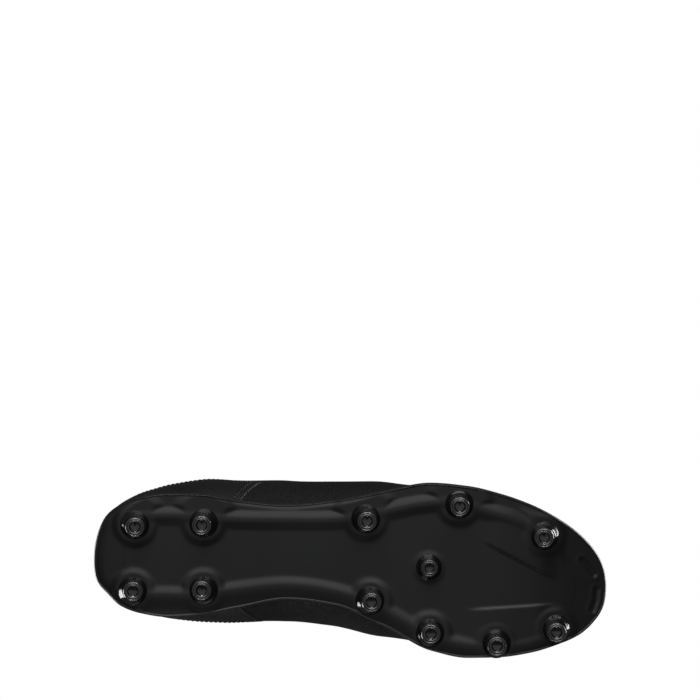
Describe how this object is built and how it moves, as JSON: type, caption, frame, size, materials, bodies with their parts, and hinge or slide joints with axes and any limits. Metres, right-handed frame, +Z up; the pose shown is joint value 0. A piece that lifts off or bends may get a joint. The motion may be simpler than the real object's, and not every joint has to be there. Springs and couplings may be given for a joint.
{
  "type": "soccer cleat",
  "caption": "Low-cut lace-up football boot for firm ground, right foot, with a moulded stud plate, padded collar, tongue and lift-out insole.",
  "frame": {"origin": "centre of the bounding box in plan, on the ground under the studs", "axes": "+X from heel to toe, +Y towards the inner side of the foot, +Z up"},
  "size_m": [0.286, 0.0967, 0.1102],
  "materials": {
    "sole_plate": "satin moulded thermoplastic polyurethane",
    "stud_tip": "gloss moulded thermoplastic polyurethane",
    "upper_synthetic": "fine pebble grain synthetic leather, satin",
    "overlay_synthetic": "smooth coated synthetic leather, satin",
    "lining_textile": "brushed knit lining, matt",
    "padding_foam": "open cell foam",
    "stiffener_board": "heat formed stiffener sheet",
    "insole_fibreboard": "pressed fibre board",
    "sock_textile": "flat knit top cloth, matt",
    "lace_textile": "flat woven polyester",
    "tab_webbing": "woven webbing"
  },
  "bodies": {
    "boot": {"outsole_plate": "sole_plate", "insole_board": "insole_fibreboard", "vamp": "upper_synthetic", "quarter_outer": "upper_synthetic", "quarter_inner": "upper_synthetic", "heel_overlay": "overlay_synthetic", "heel_backstay": "overlay_synthetic", "facing_outer": "overlay_synthetic", "facing_inner": "overlay_synthetic", "heel_counter": "stiffener_board", "toe_puff": "stiffener_board", "collar_foam": "padding_foam", "lining_rear": "lining_textile", "lining_vamp": "lining_textile", "lace": "lace_textile", "pull_tab": "tab_webbing", "stud_heel_outer_rear": "stud_tip", "stud_heel_outer_front": "stud_tip", "stud_heel_inner_rear": "stud_tip", "stud_heel_inner_front": "stud_tip", "stud_outer_rear": "stud_tip", "stud_outer_middle": "stud_tip", "stud_outer_front": "stud_tip", "stud_forefoot_centre": "stud_tip", "stud_inner_rear": "stud_tip", "stud_inner_ball_rear": "stud_tip", "stud_inner_ball_front": "stud_tip", "stud_inner_front": "stud_tip"},
    "tongue": {"tongue_outer": "upper_synthetic", "tongue_padding": "padding_foam"},
    "sockliner": {"sockliner_foam": "padding_foam", "sockliner_cover": "sock_textile"}
  },
  "joints": [
    {"name": "tongue_swing", "type": "hinge", "parent": "boot", "child": "tongue", "pos_m": [0.0285, -0.003, 0.0605], "axis": [0, 1, 0], "range_deg": [-10, 0], "stiffness_Nm_per_rad": 0.05},
    {"name": "sockliner_lift", "type": "hinge", "parent": "boot", "child": "sockliner", "pos_m": [0.132, 0.01, 0.026], "axis": [0, 1, 0], "range_deg": [0, 3]}
  ]
}
